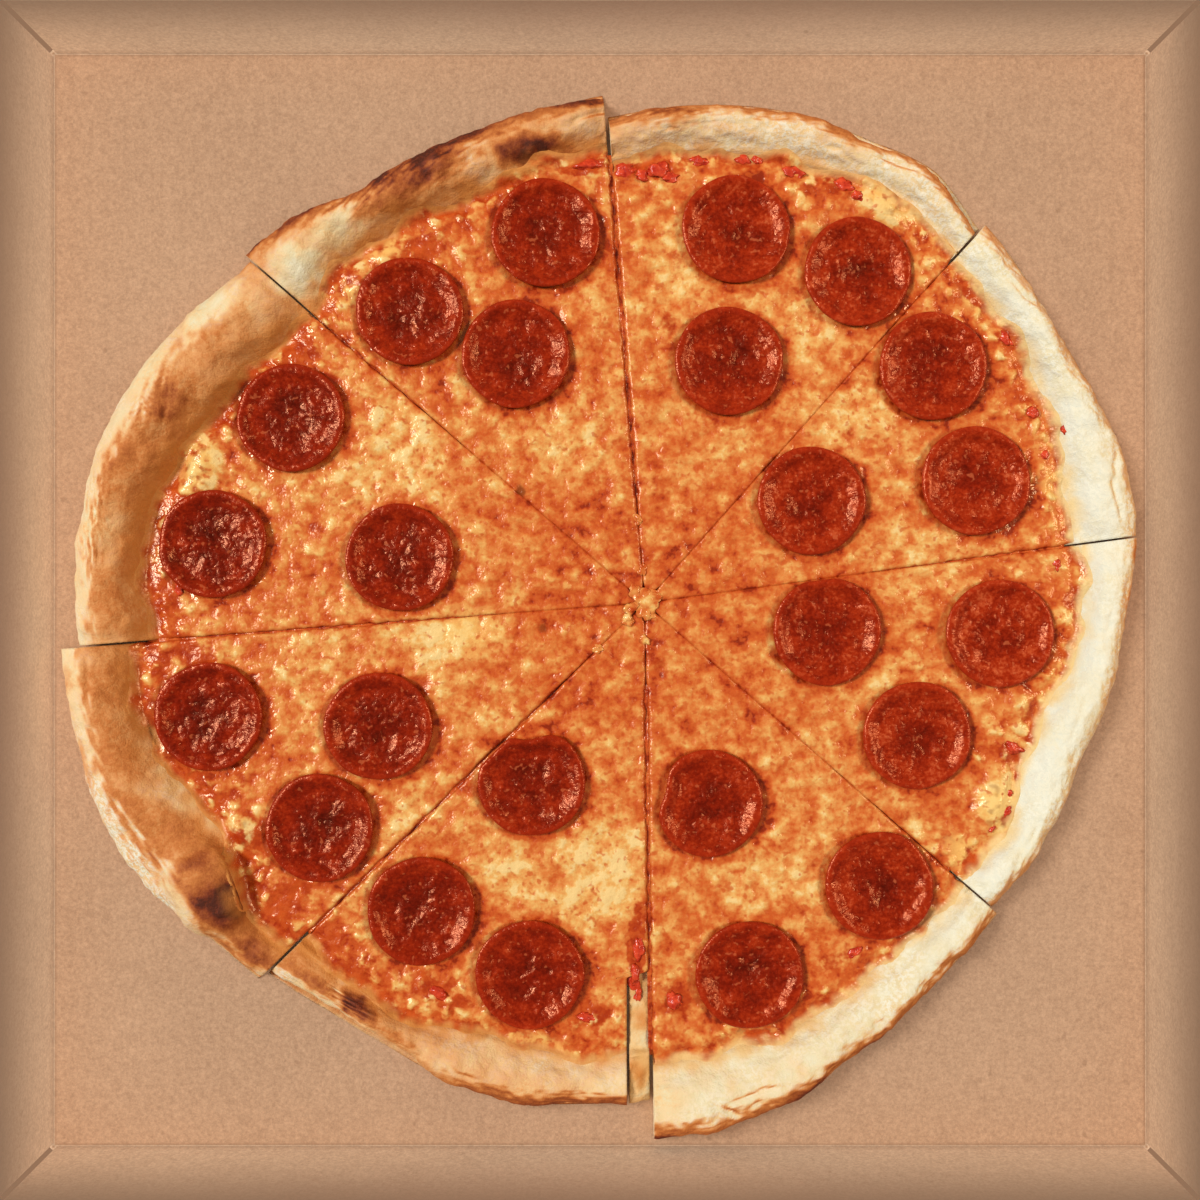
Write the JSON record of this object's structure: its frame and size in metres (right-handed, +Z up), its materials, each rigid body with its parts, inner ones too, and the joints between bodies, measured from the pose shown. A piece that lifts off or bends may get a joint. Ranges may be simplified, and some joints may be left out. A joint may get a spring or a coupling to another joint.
{
  "type": "pizza in its box",
  "caption": "Round pepperoni pizza cut into wedges, lying in a square corrugated board takeaway box with a hinged lid standing open.",
  "frame": {"origin": "middle of the box's underside, on the surface it stands on", "axes": "+Z up; +X to the right and +Y to the rear wall, where the lid is hinged, looking into the open box"},
  "size_m": [0.422, 0.6242, 0.4175],
  "materials": {
    "kraft_board": "matte",
    "baked_dough": "matte",
    "melted_cheese": "satin",
    "pepperoni_meat": "satin"
  },
  "bodies": {
    "tray": {"tray": "kraft_board", "slice_1_crust": "baked_dough", "slice_2_crust": "baked_dough", "slice_3_crust": "baked_dough", "slice_4_crust": "baked_dough", "slice_5_crust": "baked_dough", "slice_6_crust": "baked_dough", "slice_7_crust": "baked_dough", "slice_8_crust": "baked_dough", "slice_1_cheese": "melted_cheese", "slice_2_cheese": "melted_cheese", "slice_3_cheese": "melted_cheese", "slice_4_cheese": "melted_cheese", "slice_5_cheese": "melted_cheese", "slice_6_cheese": "melted_cheese", "slice_7_cheese": "melted_cheese", "slice_8_cheese": "melted_cheese", "pepperoni_01": "pepperoni_meat", "pepperoni_02": "pepperoni_meat", "pepperoni_03": "pepperoni_meat", "pepperoni_04": "pepperoni_meat", "pepperoni_05": "pepperoni_meat", "pepperoni_06": "pepperoni_meat", "pepperoni_07": "pepperoni_meat", "pepperoni_08": "pepperoni_meat", "pepperoni_09": "pepperoni_meat", "pepperoni_10": "pepperoni_meat", "pepperoni_11": "pepperoni_meat", "pepperoni_12": "pepperoni_meat", "pepperoni_13": "pepperoni_meat", "pepperoni_14": "pepperoni_meat", "pepperoni_15": "pepperoni_meat", "pepperoni_16": "pepperoni_meat", "pepperoni_17": "pepperoni_meat", "pepperoni_18": "pepperoni_meat", "pepperoni_19": "pepperoni_meat", "pepperoni_20": "pepperoni_meat", "pepperoni_21": "pepperoni_meat", "pepperoni_22": "pepperoni_meat", "pepperoni_23": "pepperoni_meat", "pepperoni_24": "pepperoni_meat"},
    "lid": {"lid": "kraft_board"}
  },
  "joints": [
    {"name": "lid_hinge", "type": "hinge", "parent": "tray", "child": "lid", "pos_m": [0, 0.208, 0.04815], "axis": [1, 0, 0], "range_deg": [-60, 120]}
  ]
}
